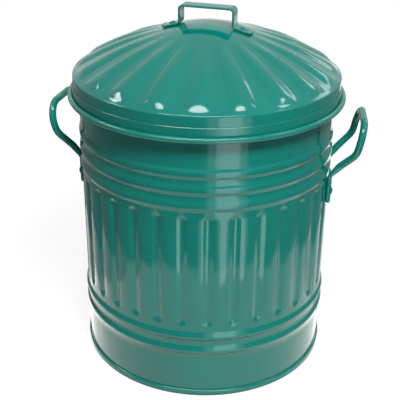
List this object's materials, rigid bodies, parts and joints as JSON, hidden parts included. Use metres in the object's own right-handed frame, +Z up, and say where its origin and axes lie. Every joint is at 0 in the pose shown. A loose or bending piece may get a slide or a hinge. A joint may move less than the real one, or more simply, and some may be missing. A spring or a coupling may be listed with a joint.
{
  "type": "steel dustbin with lid",
  "caption": "Round upright sheet-steel bin with fluted, ribbed wall, bow handles riveted to its sides and a ribbed domed lift-off lid with a strap handle.",
  "frame": {"origin": "middle of the base, on the floor", "axes": "+Z up; the two bow handles lie on the +X and -X sides; the picture looks from -Y, about ten degrees toward +X"},
  "size_m": [0.421, 0.3602, 0.4764],
  "materials": {
    "green_paint": "high-gloss teal-green enamel over steel sheet",
    "handle_paint": "high-gloss teal-green enamel over bent steel rod and strap",
    "steel_wire": "plain drawn steel wire, hidden in the rolled edges"
  },
  "bodies": {
    "bin": {"body_shell": "green_paint", "base_pan": "green_paint", "body_rim_wire": "steel_wire", "handle_right": "handle_paint", "handle_right_rivet_1": "handle_paint", "handle_right_washer_1": "handle_paint", "handle_right_rivet_2": "handle_paint", "handle_right_washer_2": "handle_paint", "handle_left": "handle_paint", "handle_left_rivet_1": "handle_paint", "handle_left_washer_1": "handle_paint", "handle_left_rivet_2": "handle_paint", "handle_left_washer_2": "handle_paint"},
    "lid": {"lid_crown": "green_paint", "lid_hoop": "green_paint", "lid_rim_wire": "steel_wire", "lid_handle": "handle_paint", "lid_rivet_right": "handle_paint", "lid_rivet_left": "handle_paint", "lid_washer_right": "handle_paint", "lid_washer_left": "handle_paint"}
  },
  "joints": [
    {"name": "lid_lift", "type": "slide", "parent": "bin", "child": "lid", "axis": [0, 0, 1], "range_m": [0, 0.25]}
  ]
}
